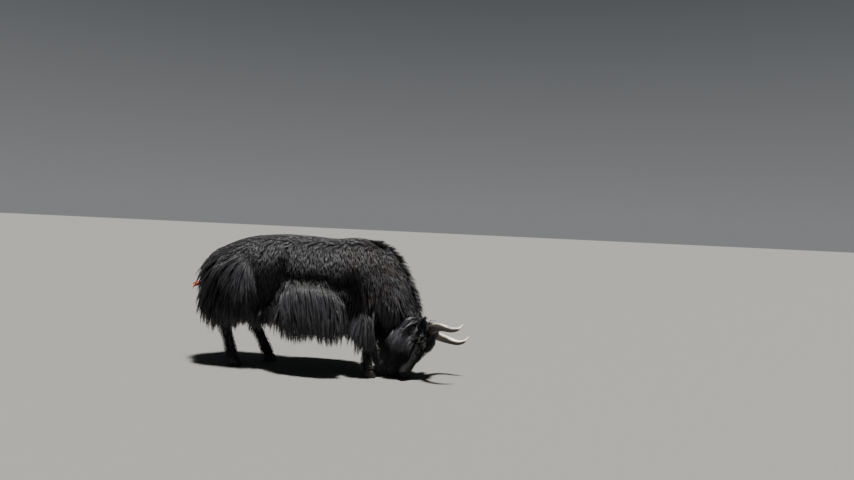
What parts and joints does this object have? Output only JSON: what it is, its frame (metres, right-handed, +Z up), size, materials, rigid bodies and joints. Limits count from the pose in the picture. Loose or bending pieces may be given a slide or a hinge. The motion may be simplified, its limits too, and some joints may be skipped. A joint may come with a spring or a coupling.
{
  "type": "yak",
  "caption": "Life-size still model of a long-haired black domestic yak bull, standing with its head lowered in a push.",
  "frame": {"origin": "on the floor, under the middle of the model's outer box", "axes": "+X from rump to head, +Y to the animal's left, +Z up"},
  "size_m": [2.9184, 0.9585, 1.3412],
  "materials": {
    "coat": "long dark hair with a soft sheen, over skin of the same colour",
    "horn": "grey-brown horn, cream along the upper side and at the tip",
    "hoof": "dull dark horn",
    "eye": "wet dark brown",
    "ribbon": "matt orange-red cloth"
  },
  "bodies": {
    "root": {"torso_hind": "coat", "torso_barrel": "coat", "torso_fore": "coat", "neck": "coat", "tail": "coat", "head": "coat", "tail_ribbon": "ribbon", "left_flank": "coat", "right_flank": "coat", "right_hind_upper_leg": "coat", "right_hind_lower_leg": "coat", "right_hind_claw_outer": "hoof", "right_hind_claw_inner": "hoof", "left_hind_upper_leg": "coat", "left_hind_lower_leg": "coat", "left_hind_claw_outer": "hoof", "left_hind_claw_inner": "hoof", "right_fore_upper_leg": "coat", "right_fore_lower_leg": "coat", "right_fore_claw_outer": "hoof", "right_fore_claw_inner": "hoof", "left_fore_upper_leg": "coat", "left_fore_lower_leg": "coat", "left_fore_claw_outer": "hoof", "left_fore_claw_inner": "hoof", "left_horn": "horn", "left_ear": "coat", "left_eye": "eye", "right_horn": "horn", "right_ear": "coat", "right_eye": "eye"}
  },
  "joints": []
}
